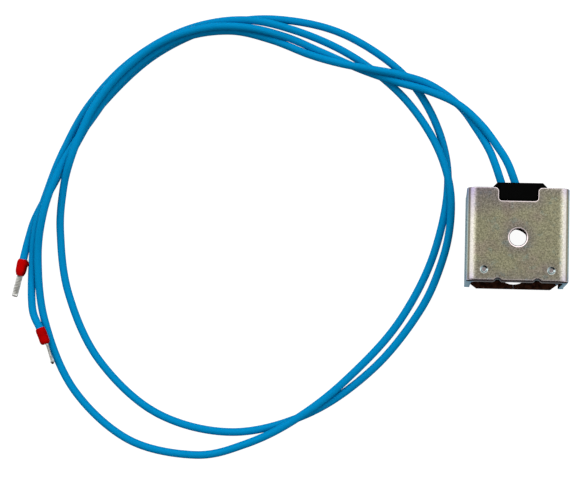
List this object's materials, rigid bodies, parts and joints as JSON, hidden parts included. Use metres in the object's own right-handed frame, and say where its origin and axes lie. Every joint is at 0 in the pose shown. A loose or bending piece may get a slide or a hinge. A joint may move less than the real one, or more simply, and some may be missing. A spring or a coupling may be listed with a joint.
{
  "type": "solenoid valve coil",
  "caption": "Solenoid valve coil: a black moulded coil held in a folded passivated steel yoke with a through bore, and flying leads that end in insulated crimp ferrules.",
  "frame": {"origin": "on the bore axis, in the plane of the yoke's rear flanges, which is the surface that the coil lies on", "axes": "+Z along the bore axis from the rear flanges to the front plate; +Y towards the edge where the leads leave; +X to the right seen from the front plate"},
  "size_m": [0.2091, 0.1698, 0.03],
  "materials": {
    "yoke_steel": "zinc plated, yellow passivated, fine rolled grain",
    "black_moulding": "moulded, fine satin",
    "bobbin_plastic": "moulded",
    "magnet_wire": "enamelled copper",
    "tape_film": "polyester film tape",
    "terminal_brass": "plain",
    "blue_insulation": "extruded, soft sheen",
    "red_collar": "moulded",
    "tinned_sleeve": "tin plated copper, crimped",
    "strand_copper": "bare copper strands"
  },
  "bodies": {
    "root": {"yoke_frame": "yoke_steel", "coil_moulding": "black_moulding", "bobbin": "bobbin_plastic", "winding": "magnet_wire", "winding_tape": "tape_film", "start_wire": "magnet_wire", "finish_wire": "magnet_wire", "start_terminal": "terminal_brass", "finish_terminal": "terminal_brass", "tail_core_1": "strand_copper", "tail_core_2": "strand_copper", "lead_tail_1": "blue_insulation", "lead_tail_2": "blue_insulation", "lead_1": "blue_insulation", "lead_2": "blue_insulation", "ferrule_collar_1": "red_collar", "ferrule_collar_2": "red_collar", "ferrule_sleeve_1": "tinned_sleeve", "ferrule_sleeve_2": "tinned_sleeve", "strand_core_1": "strand_copper", "strand_core_2": "strand_copper"}
  },
  "joints": []
}
